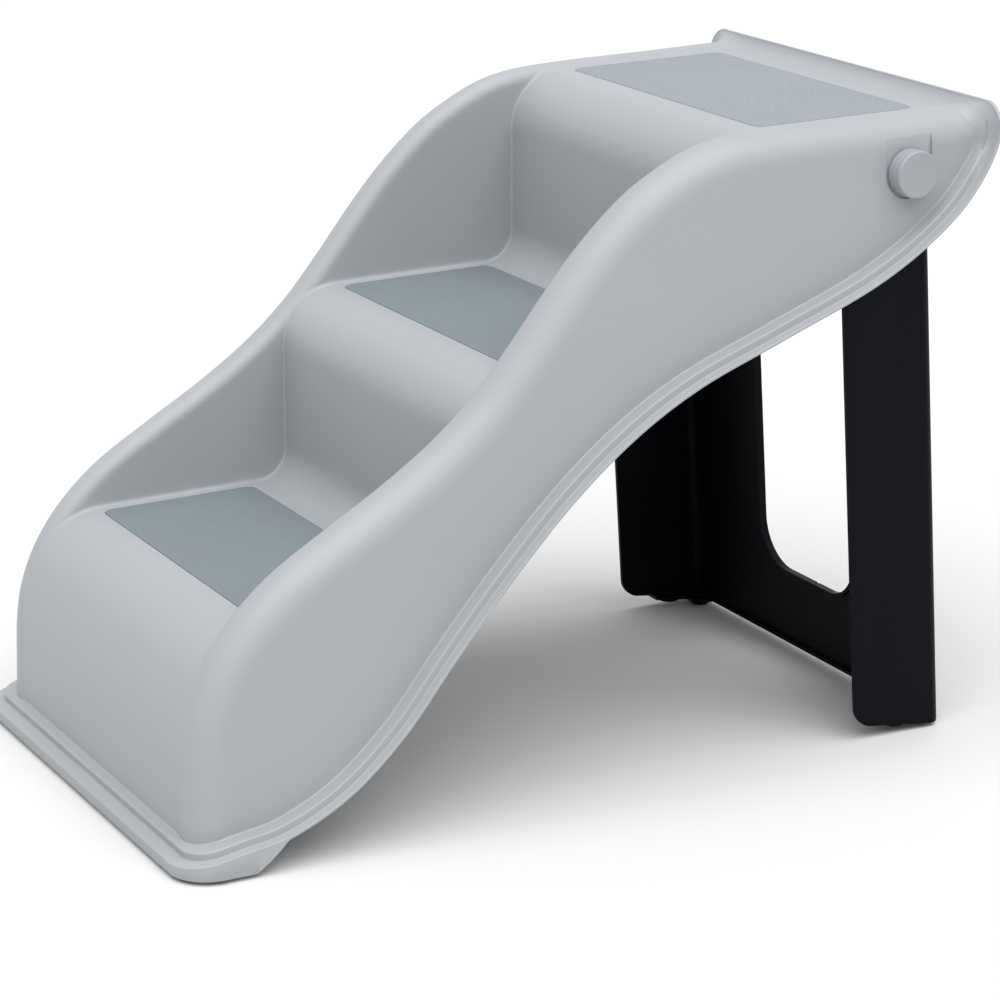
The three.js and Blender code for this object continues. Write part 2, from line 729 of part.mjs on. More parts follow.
const legRearEdge = legPoint(legRearGap, legRearReach)[0];
const shelfPlate = { under: skirtLift, slope: 0, thickness: footShelf };
for (const [label, side] of [["left", -1], ["right", 1]]) {
  addPiece("hinge_cap_" + label, atHinge(pinProfile(), side), capPlastic);
  addPiece("hinge_washer_" + label, washerSolid(side), steel);
  addPiece("hinge_screw_" + label, atHinge(screwProfile(), side), steel);
  for (const [kind, foot] of Object.entries(legFeet)) {
    const y = footPlace(foot);
    const web = { under: legRearGap + (legRearEdge - y) * webSlope, slope: webSlope, thickness: legWall };
    const x = side * (legHalfWidth - foot.inset);
    addPiece("leg_foot_" + kind + "_" + label, footSolid(x, y, foot, web), footRubber);
  }
  const pad = footSolid(side * frontFootX, frontFootInset, frontFoot, shelfPlate);
  addPiece("front_foot_" + label, pad, padRubber);
}

export default stairs;
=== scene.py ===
import math
from bisect import bisect_right

import bmesh
import bpy
from mathutils import Matrix, Vector


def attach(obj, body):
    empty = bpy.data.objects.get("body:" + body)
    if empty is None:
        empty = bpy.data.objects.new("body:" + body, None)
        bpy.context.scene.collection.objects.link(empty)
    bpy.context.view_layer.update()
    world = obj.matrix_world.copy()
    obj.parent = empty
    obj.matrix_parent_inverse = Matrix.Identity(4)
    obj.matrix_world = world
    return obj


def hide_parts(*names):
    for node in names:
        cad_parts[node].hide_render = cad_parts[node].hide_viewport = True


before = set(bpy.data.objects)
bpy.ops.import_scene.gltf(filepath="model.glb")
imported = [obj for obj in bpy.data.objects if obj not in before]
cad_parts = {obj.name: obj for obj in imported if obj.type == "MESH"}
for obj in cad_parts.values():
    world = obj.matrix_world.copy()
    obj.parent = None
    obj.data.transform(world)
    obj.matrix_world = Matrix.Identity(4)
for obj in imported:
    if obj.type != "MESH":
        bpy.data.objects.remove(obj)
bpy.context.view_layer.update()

print("frame loaded")

mm = 0.001    # lengths below are in millimetres and angles in degrees
stairs = {
    "length": 656, "width": 406, "height": 484,
    "wallHalfWidth": 183, "railInner": 147, "shellWall": 2.75,
    "rimShares": [
        (0, 0.019), (0.068, 0.036), (0.121, 0.049), (0.189, 0.093), (0.254, 0.168), (0.319, 0.275),
        (0.387, 0.381), (0.463, 0.486), (0.539, 0.568), (0.613, 0.625), (0.719, 0.681), (0.842, 0.747),
        (0.912, 0.803), (0.958, 0.857), (0.987, 0.914), (0.998, 0.957), (1, 1),
    ],
    "crestShares": [
        (0.0245, 0.04), (0.0255, 0.1), (0.028, 0.175), (0.035, 0.229), (0.054, 0.292), (0.086, 0.353),
        (0.132, 0.41), (0.197, 0.465), (0.265, 0.519), (0.326, 0.575), (0.374, 0.632), (0.413, 0.692),
        (0.467, 0.783), (0.507, 0.844), (0.556, 0.903), (0.59, 0.932), (0.632, 0.959), (0.672, 0.973),
        (0.738, 0.98), (0.866, 0.984), (0.988, 0.988),
    ],
    "riserShares": (0.3636, 0.6684), "treadShares": (0.345, 0.66, 0.974),
    "treadSlope": 0.018, "noseDepth": 60, "noseHeight": 85, "riserNose": 43, "riserFillet": 25,
    "treadSetback": 1, "wallFoot": 8, "rearEdge": 8.2, "overrun": 12, "overrunRise": 0.3,
    "pivotSetback": 68, "pivotDepth": 34.4, "legLean": 0.0645,
}
firstRiser, secondRiser = [share * stairs["length"] for share in stairs["riserShares"]]
bottomHeight, middleHeight, topHeight = [share * stairs["height"] for share in stairs["treadShares"]]
pivotY = stairs["length"] - stairs["pivotSetback"]
pivotZ = topHeight - stairs["pivotDepth"]
wallTop = stairs["crestShares"][2][0] * stairs["length"] + stairs["treadSetback"]    # over the front wall
flats = {
    "bottom": (wallTop + stairs["noseDepth"], bottomHeight, firstRiser - stairs["riserFillet"]),
    "middle": (firstRiser + stairs["riserNose"], middleHeight, secondRiser - stairs["riserFillet"]),
    "top": (secondRiser + stairs["riserNose"], topHeight, stairs["length"] - stairs["rearEdge"]),
}


def flatAt(name, y):
    front, height, _ = flats[name]
    return height + (y - front) * stairs["treadSlope"]


def place(x, y, z):
    return Vector((x, y - stairs["length"] * 0.5, z)) * mm


def limited(value, low=0, high=1):
    return min(max(value, low), high)


# Lines are lists of (across, up), seen from the side

def smoothLine(shares, steps=24):
    knots = [Vector((y * stairs["length"], z * stairs["height"])) for y, z in shares]
    knots = [knots[0] * 2 - knots[1]] + knots + [knots[-1] * 2 - knots[-2]]
    line = [tuple(knots[1])]
    for p0, p1, p2, p3 in zip(knots, knots[1:], knots[2:], knots[3:]):
        d0, d1, d2 = [math.sqrt((b - a).length) for a, b in ((p0, p1), (p1, p2), (p2, p3))]
        t1 = ((p1 - p0) / d0 - (p2 - p0) / (d0 + d1) + (p2 - p1) / d1) * d1
        t2 = ((p2 - p1) / d1 - (p3 - p1) / (d1 + d2) + (p3 - p2) / d2) * d1
        square, cube = p2 * 3 - p1 * 3 - t1 * 2 - t2, p1 * 2 - p2 * 2 + t1 + t2
        for i in range(1, steps + 1):
            t = i / steps
            line.append(tuple(p1 + t1 * t + square * t * t + cube * t ** 3))
    return line


# A corner is (across, up), then its rounding before and, where that differs, after it
def roundedLine(corners, steps=24):
    points = []
    for i, corner in enumerate(corners):
        if len(corner) == 2:
            points.append(corner)
            continue
        here = Vector(corner[:2])
        back = (Vector(corners[i - 1][:2]) - here).normalized() * corner[2]
        ahead = (Vector(corners[i + 1][:2]) - here).normalized() * corner[-1]
        for s in range(steps + 1):
            turn = s / steps * math.pi / 2
            points.append(tuple(here + back * (1 - math.sin(turn)) + ahead * (1 - math.cos(turn))))
    return points


def offsetLine(line, distance):
    moved = []
    for i, (y, z) in enumerate(line):
        before, after = Vector(line[max(i - 1, 0)]), Vector(line[min(i + 1, len(line) - 1)])
        along = (after - before).normalized()
        moved.append((y - along.y * distance, z + along.x * distance))
    return moved


def resample(line, count, turnWeight=0):
    measure = [0]
    for i in range(1, len(line)):
        a, b = Vector(line[i - 1]), Vector(line[i])
        step = (b - a).length
        if turnWeight and i + 1 < len(line):
            c = Vector(line[i + 1])
            if step > 1e-6 and (c - b).length > 1e-6:
                step += turnWeight * abs((b - a).angle(c - b))
        measure.append(measure[-1] + step)
    points = []
    for i in range(count + 1):
        at = measure[-1] * i / count
        k = limited(bisect_right(measure, at), 1, len(line) - 1)
        share = (at - measure[k - 1]) / max(measure[k] - measure[k - 1], 1e-9)
        points.append(tuple(Vector(line[k - 1]).lerp(Vector(line[k]), limited(share))))
    return points


def upAt(line, across):
    k = limited(bisect_right(line, across, key=lambda p: p[0]), 1, len(line) - 1)
    (a0, u0), (a1, u1) = line[k - 1], line[k]
    return u0 + (u1 - u0) * (across - a0) / max(a1 - a0, 1e-9)


def climbAt(line, across, reach=5):
    return (upAt(line, across + reach) - upAt(line, across - reach)) / (2 * reach)


# The shell is sampled along a tilted axis, on which no riser stands upright
slopeRun, slopeRise = 0.8, 0.6


def toSlope(line):
    return [(slopeRun * y + slopeRise * z, slopeRun * z - slopeRise * y) for y, z in line]


def fromSlope(across, up):
    return slopeRun * across - slopeRise * up, slopeRise * across + slopeRun * up


pastRear = stairs["length"] + stairs["overrun"]
rimLine = smoothLine(stairs["rimShares"])
crestLine = smoothLine(stairs["crestShares"])
footY, footZ = crestLine[0]
treadLine = roundedLine([
    (footY + stairs["treadSetback"], footZ - stairs["wallFoot"]),
    (wallTop, flatAt("bottom", wallTop), stairs["noseHeight"], stairs["noseDepth"]),
    (firstRiser, flatAt("bottom", firstRiser), stairs["riserFillet"]),
    (firstRiser, flatAt("middle", firstRiser), stairs["riserNose"]),
    (secondRiser, flatAt("middle", secondRiser), stairs["riserFillet"]),
    (secondRiser, flatAt("top", secondRiser), stairs["riserNose"]),
    (pastRear, flatAt("top", pastRear)),
])
crestLine.insert(0, (footY, footZ - stairs["wallFoot"]))
crestLine.append((pastRear, crestLine[-1][1] + stairs["overrunRise"]))


# Mesh helpers

def inScene(name, data):
    made = bpy.data.objects.new(name, data)
    bpy.context.scene.collection.objects.link(made)
    return made


def meshObject(name, bm):
    mesh = bpy.data.meshes.new(name)
    bm.to_mesh(mesh)
    bm.free()
    return inScene(name, mesh)


def dropObject(thing):
    mesh = thing.data
    bpy.data.objects.remove(thing)
    bpy.data.meshes.remove(mesh)


def newPiece(name, bm, body, material, replaced=()):
    piece = meshObject(name, bm)
    piece.data.materials.append(material)
    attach(piece, body)
    for node in replaced:
        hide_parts(node)
    return piece


def applyAll(piece):
    shape = piece.evaluated_get(bpy.context.evaluated_depsgraph_get())
    made = bpy.data.meshes.new_from_object(shape)
    piece.modifiers.clear()
    old = piece.data
    piece.data = made
    bpy.data.meshes.remove(old)


def combine(piece, bm, operation):
    tool = meshObject("tool", bm)
    change = piece.modifiers.new("combine", "BOOLEAN")
    change.operation = operation
    change.solver = "MANIFOLD"
    change.object = tool
    applyAll(piece)
    dropObject(tool)


def shadeSmooth(piece, degrees=32):
    piece.data.shade_smooth()
    piece.data.set_sharp_from_angle(angle=math.radians(degrees))


def rebuilt(bm, other, operation):
    temp = meshObject("temp", bm)
    combine(temp, other, operation)
    made = bmesh.new()
    made.from_mesh(temp.data)
    dropObject(temp)
    return made


def soften(piece, width, degrees=40, segments=2):
    edges = piece.modifiers.new("edges", "BEVEL")
    edges.width = width * mm
    edges.segments = segments
    edges.limit_method = "ANGLE"
    edges.angle_limit = math.radians(degrees)
    edges.use_clamp_overlap = True
    edges.harden_normals = True
    piece.data.shade_smooth()
    applyAll(piece)


def pushOut(bm, along):
    made = bmesh.ops.extrude_face_region(bm, geom=bm.faces[:])
    verts = [v for v in made["geom"] if isinstance(v, bmesh.types.BMVert)]
    bmesh.ops.translate(bm, verts=verts, vec=along)
    bmesh.ops.recalc_face_normals(bm, faces=bm.faces)


def sameWay(edge, along):
    return (edge.verts[1].co - edge.verts[0].co).normalized().cross(along.normalized()).length < 1e-3


def prism(corners, toPlace, along, segments=10):
    bm = bmesh.new()
    spots = [toPlace(corner[0], corner[1]) for corner in corners]
    bm.faces.new([bm.verts.new(spot) for spot in spots])
    pushOut(bm, along)
    for spot, corner in zip(spots, corners):
        if len(corner) > 2:
            edge = [e for e in bm.edges
                    if sameWay(e, along) and min((v.co - spot).length for v in e.verts) < 1e-5]
            bmesh.ops.bevel(bm, geom=edge, offset=corner[2] * mm, offset_type="OFFSET", segments=segments,
                            profile=0.5, affect="EDGES", material=-1)
    return bm


def prismX(corners, x0, x1, segments=10):
    return prism(corners, lambda y, z: place(x0, y, z), Vector((x1 - x0, 0, 0)) * mm, segments)


def rod(centre, axis, radius, low, high, segments=64):
    bm = bmesh.new()
    turn = axis.to_track_quat("Z", "Y").to_matrix().to_4x4()
    where = Matrix.Translation(centre + axis * (low + high) * 0.5 * mm) @ turn
    bmesh.ops.create_cone(bm, cap_ends=True, segments=segments, radius1=radius * mm, radius2=radius * mm,
                          depth=(high - low) * mm, matrix=where)
    return bm


def spun(profile, centre, axis, steps=64, closed=False):
    bm = bmesh.new()
    spread = Vector((0, 1, 0)) if abs(axis.y) < 0.5 else Vector((1, 0, 0))
    verts = [bm.verts.new(centre + (axis * along + spread * radius) * mm) for radius, along in profile]
    edges = [bm.edges.new(pair) for pair in zip(verts, verts[1:] + verts[:1] * closed)]
    bmesh.ops.spin(bm, geom=verts + edges, cent=centre, axis=axis, angle=math.tau, steps=steps,
                   use_merge=True)
    bmesh.ops.remove_doubles(bm, verts=bm.verts, dist=1e-6)
    bmesh.ops.recalc_face_normals(bm, faces=bm.faces)
    return bm


def sheetGrid(columns, rows, pointAt):
    bm = bmesh.new()
    bmesh.ops.create_grid(bm, x_segments=columns, y_segments=rows, size=1)
    for v in bm.verts:
        v.co = pointAt(round((v.co.x + 1) / 2 * columns), round((v.co.y + 1) / 2 * rows))
    return bm


# Materials

def plain(tree, kind, **values):
    node = tree.nodes.new(kind)
    for name, value in values.items():
        if hasattr(node, name):
            setattr(node, name, value)
        else:
            node.inputs[name.replace("_", " ")].default_value = value
    return node


def product(tree, first, second):
    node = plain(tree, "ShaderNodeMath", operation="MULTIPLY")
    tree.links.new(first, node.inputs[0])
    tree.links.new(second, node.inputs[1])
    return node.outputs[0]


def ranged(tree, value, low, high, **limits):
    node = plain(tree, "ShaderNodeMapRange", To_Min=low, To_Max=high, **limits)
    tree.links.new(value, node.inputs["Value"])
    return node.outputs["Result"]


finish = {
    "cloudDetail": 4.0, "grainDetail": 3.0, "wearFrom": 0.52, "wearTo": 0.62, "roughSpread": 0.06,
    "weaveBend": 0.4,
}


# Two crossed rows of bands, as the grid pressed into the mats
def weavePattern(tree, where, look):
    bands = []
    for turn in (look["weaveTurn"], look["weaveTurn"] + 90):
        mapping = plain(tree, "ShaderNodeMapping")
        mapping.inputs["Rotation"].default_value = (0, 0, math.radians(turn))
        tree.links.new(where, mapping.inputs["Vector"])
        wave = plain(tree, "ShaderNodeTexWave", Scale=look["weaveScale"], Distortion=finish["weaveBend"])
        tree.links.new(mapping.outputs["Vector"], wave.inputs["Vector"])
        bands.append(wave.outputs["Fac"])
    return product(tree, *bands)


def surface(name, look):
    material = bpy.data.materials.new(name)
    material.use_nodes = True
    tree = material.node_tree
    link = tree.links.new
    shader = tree.nodes["Principled BSDF"]
    rough, spread = look["roughness"], finish["roughSpread"]
    shader.inputs["Roughness"].default_value = rough
    shader.inputs["Metallic"].default_value = look.get("metal", 0)
    shader.inputs["Specular IOR Level"].default_value = look.get("specular", 0.5)
    where = plain(tree, "ShaderNodeTexCoord").outputs["Object"]
    noises = []
    for kind in ("cloud", "grain"):
        noise = plain(tree, "ShaderNodeTexNoise", Scale=look[kind + "Scale"], Detail=finish[kind + "Detail"])
        link(where, noise.inputs["Vector"])
        noises.append(noise.outputs["Fac"])
    cloud, grain = noises
    shade = product(tree, ranged(tree, cloud, 1 - look["cloud"], 1 + look["cloud"]),
                    ranged(tree, grain, 1 - look["speck"], 1 + look["speck"]))
    edge = plain(tree, "ShaderNodeNewGeometry").outputs["Pointiness"]
    shade = product(tree, shade, ranged(tree, edge, 1.0, 1 + look["wear"],
                                        From_Min=finish["wearFrom"], From_Max=finish["wearTo"]))
    height = grain
    if "weaveScale" in look:
        weave = weavePattern(tree, where, look)
        shade = product(tree, shade, ranged(tree, weave, 1 - look["weaveShade"], 1 + look["weaveShade"]))
        raised = plain(tree, "ShaderNodeMath", operation="MULTIPLY_ADD")
        raised.inputs[1].default_value = look["weaveRise"]
        link(weave, raised.inputs[0])
        link(grain, raised.inputs[2])
        height = raised.outputs[0]
    colour = plain(tree, "ShaderNodeVectorMath", operation="SCALE")
    colour.inputs[0].default_value = look["colour"]
    link(shade, colour.inputs["Scale"])
    link(colour.outputs[0], shader.inputs["Base Color"])
    link(ranged(tree, cloud, rough - spread, rough + spread), shader.inputs["Roughness"])
    bump = plain(tree, "ShaderNodeBump", Strength=look["bump"], Distance=look["bumpDepth"])
    link(height, bump.inputs["Height"])
    link(bump.outputs["Normal"], shader.inputs["Normal"])
    return material


looks = {
    "shellPlastic": {
        "colour": (0.326, 0.342, 0.361), "roughness": 0.48, "cloud": 0.035, "cloudScale": 7.0,
        "speck": 0.03, "grainScale": 900.0, "wear": 0.1, "bump": 0.12, "bumpDepth": 0.0004,
    },
    "capPlastic": {
        "colour": (0.288, 0.312, 0.333), "roughness": 0.42, "cloud": 0.03, "cloudScale": 30.0,
        "speck": 0.02, "grainScale": 1200.0, "wear": 0.08, "bump": 0.08, "bumpDepth": 0.0003,
    },
    "matRubber": {
        "colour": (0.182, 0.214, 0.24), "roughness": 0.72, "cloud": 0.05, "cloudScale": 12.0,
        "speck": 0.16, "grainScale": 700.0, "wear": 0.05, "bump": 0.5, "bumpDepth": 0.0006,
        "weaveScale": 260.0, "weaveTurn": 32, "weaveRise": 1.2, "weaveShade": 0.12,
    },
    # The top mat is the same rubber as the lower mats. Its lighter colour is painted light, standing in for
    # the brighter light and sheen on the top tread.
    "topMatRubberPaintedLight": {
        "colour": (0.312, 0.344, 0.388), "roughness": 0.66, "cloud": 0.05, "cloudScale": 12.0,
        "speck": 0.12, "grainScale": 700.0, "wear": 0.05, "bump": 0.7, "bumpDepth": 0.001,
        "weaveScale": 125.6, "weaveTurn": 45, "weaveRise": 1.6, "weaveShade": 0.2,
    },
    "legPlastic": {
        "colour": (0.0018, 0.0023, 0.0042), "roughness": 0.42, "specular": 0.07, "cloud": 0.12,
        "cloudScale": 9.0, "speck": 0.1, "grainScale": 1100.0, "wear": 0.5, "bump": 0.15,
        "bumpDepth": 0.0004,
    },
    "footRubber": {
        "colour": (0.0045, 0.0045, 0.005), "roughness": 0.85, "specular": 0.08, "cloud": 0.1,
        "cloudScale": 60.0, "speck": 0.15, "grainScale": 1500.0, "wear": 0.3, "bump": 0.3,
        "bumpDepth": 0.0004,
    },
    "padRubber": {
        "colour": (0.27, 0.295, 0.31), "roughness": 0.85, "cloud": 0.08, "cloudScale": 60.0,
        "speck": 0.12, "grainScale": 1500.0, "wear": 0.1, "bump": 0.3, "bumpDepth": 0.0004,
    },
    "steel": {
        "colour": (0.5, 0.52, 0.54), "roughness": 0.34, "metal": 1.0, "cloud": 0.08, "cloudScale": 160.0,
        "speck": 0.06, "grainScale": 2400.0, "wear": 0.2, "bump": 0.1, "bumpDepth": 0.0002,
    },
}
materials = {name: surface(name, look) for name, look in looks.items()}
print("materials made")

# Shell body: rails, treads, risers and front wall as one skin
body = {
    "stationStep": 3.0, "firstStation": 20, "lastStation": 806.4, "rearCut": 649.3,
    "footRise": 6.4, "footFront": 2.2, "footTop": 500, "leastDepth": 0.35,
    "draft": math.tan(math.radians(1)), "outerRound": 22, "innerRound": 10, "fillet": 4.5,
    "riserCorner": 1.6, "riserClimb": 0.75,
    "treadColumns": 14, "innerColumns": 30, "flatColumns": 2, "outerColumns": 34,
    "innerTurnWeight": 40, "outerTurnWeight": 80,
    "railSteps": 24, "evenSteps": 60, "filletSteps": 12, "wallSteps": 30,
}
crestSlope = toSlope(crestLine)
treadSlopeLine = toSlope(treadLine)
footLine = [(-stairs["overrun"], rimLine[0][1] - body["footFront"])] + rimLine
footLine.append((stairs["length"], body["footTop"]))
footSlope = toSlope(offsetLine(footLine, body["footRise"]))


def steepness(line, across):
    return math.sqrt(1 + climbAt(line, across) ** 2)


# From the tread up the rail's inner wall to its crest
def railInside(across, crest, tread):
    depth = crest - tread
    rise = body["innerRound"] * steepness(crestSlope, across)
    steps = body["railSteps"]
    curve = []
    startTurn = math.asin(max(1 - depth / rise, 0)) if depth < rise else 0
    if depth > rise:
        curve += [(stairs["railInner"], tread + (depth - rise) * i / steps) for i in range(steps)]
    for i in range(steps + 1):
        turn = startTurn + (math.pi / 2 - startTurn) * i / steps
        inward = body["innerRound"] * (1 - math.cos(turn))
        curve.append((stairs["railInner"] + inward, crest - rise * (1 - math.sin(turn))))
    reach = sum((Vector(b) - Vector(a)).length for a, b in zip(curve, curve[1:]))
    onRiser = limited((climbAt(treadSlopeLine, across) + body["riserClimb"]) / (2 * body["riserClimb"]))
    radius = body["fillet"] + (body["riserCorner"] - body["fillet"]) * onRiser
    fillet = min(radius * steepness(treadSlopeLine, across), reach * 0.5)
    even = resample(curve, body["evenSteps"])
    join = max(1, round(fillet / reach * body["evenSteps"]))
    corner, up = Vector(curve[0]), Vector(even[join])
    start = corner - Vector((min(radius, fillet), 0))
    shares = [i / body["filletSteps"] for i in range(body["filletSteps"])]
    bend = [tuple(start.lerp(corner, t).lerp(corner.lerp(up, t), t)) for t in shares]
    return resample(bend + even[join:], body["innerColumns"], body["innerTurnWeight"])


# From the crest down the rail's drafted outer wall to the rim
def railOutside(across, crest, foot):
    fall = body["outerRound"] * steepness(crestSlope, across)
    drop = crest - foot
    steps = body["wallSteps"]
    endTurn = math.acos(max(1 - drop / fall, 0)) if drop < fall else math.pi / 2
    wall = []
    for i in range(steps + 1):
        turn = endTurn * i / steps
        down = fall * (1 - math.cos(turn))
        inward = body["draft"] * max(0, drop - down) + body["outerRound"] * (1 - math.sin(turn))
        wall.append((stairs["wallHalfWidth"] - inward, crest - down))
    if drop > fall:
        for i in range(1, steps + 1):
            down = fall + (drop - fall) * i / steps
            wall.append((stairs["wallHalfWidth"] - body["draft"] * (drop - down), crest - down))
    return resample(wall, body["outerColumns"], body["outerTurnWeight"])


def bodySection(across):
    crest = upAt(crestSlope, across)
    tread = min(upAt(treadSlopeLine, across), crest - body["leastDepth"])
    foot = min(upAt(footSlope, across), crest - body["leastDepth"])
    inside, outside = railInside(across, crest, tread), railOutside(across, crest, foot)
    treadPart = [(inside[0][0] * i / body["treadColumns"], tread) for i in range(body["treadColumns"])]
    crestEnd, wallStart = Vector(inside[-1]), Vector(outside[0])
    shares = [(i + 1) / (body["flatColumns"] + 1) for i in range(body["flatColumns"])]
    half = treadPart + inside + [tuple(crestEnd.lerp(wallStart, share)) for share in shares] + outside
    return [(-x, h) for x, h in reversed(half[1:])] + half


stationSpan = body["lastStation"] - body["firstStation"]
stationCount = round(stationSpan / body["stationStep"])
stations = [body["firstStation"] + stationSpan * i / stationCount for i in range(stationCount + 1)]
bodyGrid = [bodySection(w) for w in stations]


def bodyPoint(column, row):
    x, up = bodyGrid[row][column]
    return place(x, *fromSlope(stations[row], up))


bm = sheetGrid(len(bodyGrid[0]) - 1, stationCount, bodyPoint)
bmesh.ops.bisect_plane(bm, geom=bm.verts[:] + bm.edges[:] + bm.faces[:], dist=1e-6,
                       plane_co=place(0, body["rearCut"], 0), plane_no=(0, 1, 0), clear_outer=True)
bmesh.ops.recalc_face_normals(bm, faces=bm.faces)
topFace = max(bm.faces, key=lambda f: f.calc_center_median().z - abs(f.calc_center_median().x))
if topFace.normal.z < 0:
    bmesh.ops.reverse_faces(bm, faces=bm.faces)
shellBody = newPiece("shellBody", bm, "stairs", materials["shellPlastic"], ["step_shell"])
wall = shellBody.modifiers.new("wall", "SOLIDIFY")
wall.thickness = stairs["shellWall"] * mm
wall.offset = -1
wall.use_even_offset = True
wall.use_quality_normals = True
applyAll(shellBody)
print("shell body", len(shellBody.data.vertices))

# Pockets for the caps, with their pin holes
pocket = {
    "radius": 19.6, "corner": 19.5, "floor": 180.6, "outside": 200, "top": 31.8, "roundSteps": 24,
    "hole": 8.3, "holeFrom": 170,
}
hinge = place(0, pivotY, pivotZ)
pocketCorners = [
    (pivotY - pocket["radius"], pivotZ + pocket["top"]),
    (pivotY - pocket["radius"], pivotZ - pocket["radius"], pocket["corner"]),
    (pivotY + pocket["radius"], pivotZ - pocket["radius"], pocket["corner"]),
    (pivotY + pocket["radius"], pivotZ + pocket["top"]),
]
for side in (-1, 1):
    block = prismX(pocketCorners, side * pocket["floor"], side * pocket["outside"], pocket["roundSteps"])
    combine(shellBody, block, "DIFFERENCE")
    bore = rod(hinge, Vector((side, 0, 0)), pocket["hole"], pocket["holeFrom"], pocket["outside"])
    combine(shellBody, bore, "DIFFERENCE")

# Mats in their recesses
mats = {
    "halfWidth": 138, "corner": 9, "thickness": 1.6, "edgeSteps": 3,
    "sink": 1, "underGap": 0.3, "cutTop": 30,
    "bottom": {"front": 1, "rear": 8, "gap": 0.35, "edge": 0.45, "rubber": "matRubber"},
    "middle": {"front": 2.5, "rear": 1, "gap": 0.35, "edge": 0.45, "rubber": "matRubber"},
    # the top mat takes the rubber whose colour has painted light in it
    "top": {"front": 4.5, "rear": 26, "gap": 0.08, "edge": 0.6, "rubber": "topMatRubberPaintedLight"},
}


def matBlock(name, grow, low, high, bevelled=False):
    front, _, rear = flats[name]
    start = front + mats[name]["front"]
    length = rear - mats[name]["rear"] - start
    x, corner = mats["halfWidth"] + grow, mats["corner"] + grow
    ends = -grow, length + grow
    corners = [(-x, ends[0], corner), (x, ends[0], corner), (x, ends[1], corner), (-x, ends[1], corner)]
    bm = prism(corners, lambda a, b: Vector((a, b, low)) * mm, Vector((0, 0, high - low)) * mm)
    if bevelled:
        middle = (low + high) / 2
        top = [e for e in bm.edges if all(v.co.z > middle * mm for v in e.verts)]
        bmesh.ops.bevel(bm, geom=top, offset=mats[name]["edge"] * mm, offset_type="OFFSET",
                        segments=mats["edgeSteps"], profile=0.5, affect="EDGES", material=-1)
    tilt = Matrix.Rotation(math.atan(stairs["treadSlope"]), 4, "X")
    seat = Matrix.Translation(place(0, start, flatAt(name, start)))
    bmesh.ops.transform(bm, matrix=seat @ tilt, verts=bm.verts)
    return bm


for name in flats:
    recess = matBlock(name, mats[name]["gap"], -mats["sink"] - mats["underGap"], mats["cutTop"])
    combine(shellBody, recess, "DIFFERENCE")
    bm = matBlock(name, 0, -mats["sink"], mats["thickness"] - mats["sink"], True)
    mat = newPiece("mat_" + name, bm, "stairs", materials[mats[name]["rubber"]],
                   ["tread_mat_" + name])
    shadeSmooth(mat)
print("pockets, recesses and mats")

# Ribs under the treads, stop rib behind the leg and bosses round the pins
under = {
    "ribX": 45.57, "ribWidth": 2.6, "ribTop": 1.5, "ribDepth": 8, "ribEnd": 28, "ribSteps": 160,
    "stopNear": 23.3, "stopWidth": 3.5, "stopLow": 409, "stopRise": 1,
    "stopHalfWidth": 181.3, "stopRound": 22,
    "bossRadius": 15, "bossFrom": 177.9, "bossTo": 181, "bossCut": 190,
}
ribLines = []
for depth in (under["ribTop"], stairs["shellWall"] + under["ribDepth"]):
    line = [spot for spot in offsetLine(treadLine, -depth) if spot[0] < pivotY - under["ribEnd"]]
    ribLines.append(resample(line, under["ribSteps"]))
for side in (-1, 1):
    x = side * under["ribX"] - under["ribWidth"] / 2
    bm = sheetGrid(under["ribSteps"], 1, lambda i, j: place(x, *ribLines[j][i]))
    pushOut(bm, (under["ribWidth"] * mm, 0, 0))
    combine(shellBody, bm, "UNION")
lean = stairs["legLean"]
stopX, stopTop = under["stopHalfWidth"], topHeight + under["stopRise"]
stopCorners = [
    (-stopX, under["stopLow"]), (stopX, under["stopLow"]),
    (stopX, stopTop, under["stopRound"]), (-stopX, stopTop, under["stopRound"]),
]
bm = prism(stopCorners, lambda x, z: place(x, pivotY + under["stopNear"] + (pivotZ - z) * lean, z),
           Vector((0, under["stopWidth"] * mm, 0)))
combine(shellBody, bm, "UNION")
for side in (-1, 1):
    axis = Vector((side, 0, 0))
    bm = rebuilt(rod(hinge, axis, under["bossRadius"], under["bossFrom"], under["bossTo"]),
                 rod(hinge, axis, pocket["hole"], pocket["holeFrom"], under["bossCut"]), "DIFFERENCE")
    combine(shellBody, bm, "UNION")
shadeSmooth(shellBody)
print("ribs and bosses", len(shellBody.data.vertices))

# Rim: two ledges all round, with the skirt at the front
rim = {
    "edge": 2.3, "edgeRound": 0.8, "footFillet": 0.9, "step": 5.9, "stepInset": 1.2, "stepRound": 1.1,
    "wallRun": 3, "wallFillet": 1.5, "wallSink": 0.8, "wallRise": 1.3, "wallInset": 1.2, "sheet": 2.5,
    "skirtWall": 3, "skirtLift": 3, "skirtLength": 54, "skirtSlope": 24, "skirtEdge": 0.6, "skirtTop": 0.5,
    "leastCorner": 1,
    "outer": {"front": 0, "side": 0, "rear": 0, "planCorner": 30, "rearCorner": 22},
    "ledge": {"front": 11, "side": 7.7, "rear": 5.5, "planCorner": 22, "rearCorner": 15},
    "wall": {"front": 19.3, "side": 20.15, "rear": 9.2, "planCorner": 22, "rearCorner": 20},
    "rampFrom": 425, "rampTo": 465, "rampSide": 8.2, "rampRear": 15, "rampEdge": 1, "rampHollow": 0.6,
    "rampTurnFrom": 8, "rampTurnTo": 34,
    "railFill": 9, "railFillShare": 0.36, "railFillFrom": 40, "railFillTo": 12, "railFillWidth": (150, 170),
    "frontSteps": 10, "cornerSteps": 14, "sideSteps": 300, "rearSteps": 12, "weld": 0.02, "sharpFrom": 40,
}
rimLength = [0]
for a, b in zip(rimLine, rimLine[1:]):
    rimLength.append(rimLength[-1] + (Vector(b) - Vector(a)).length)
rimStack = rim["edge"] + rim["step"]


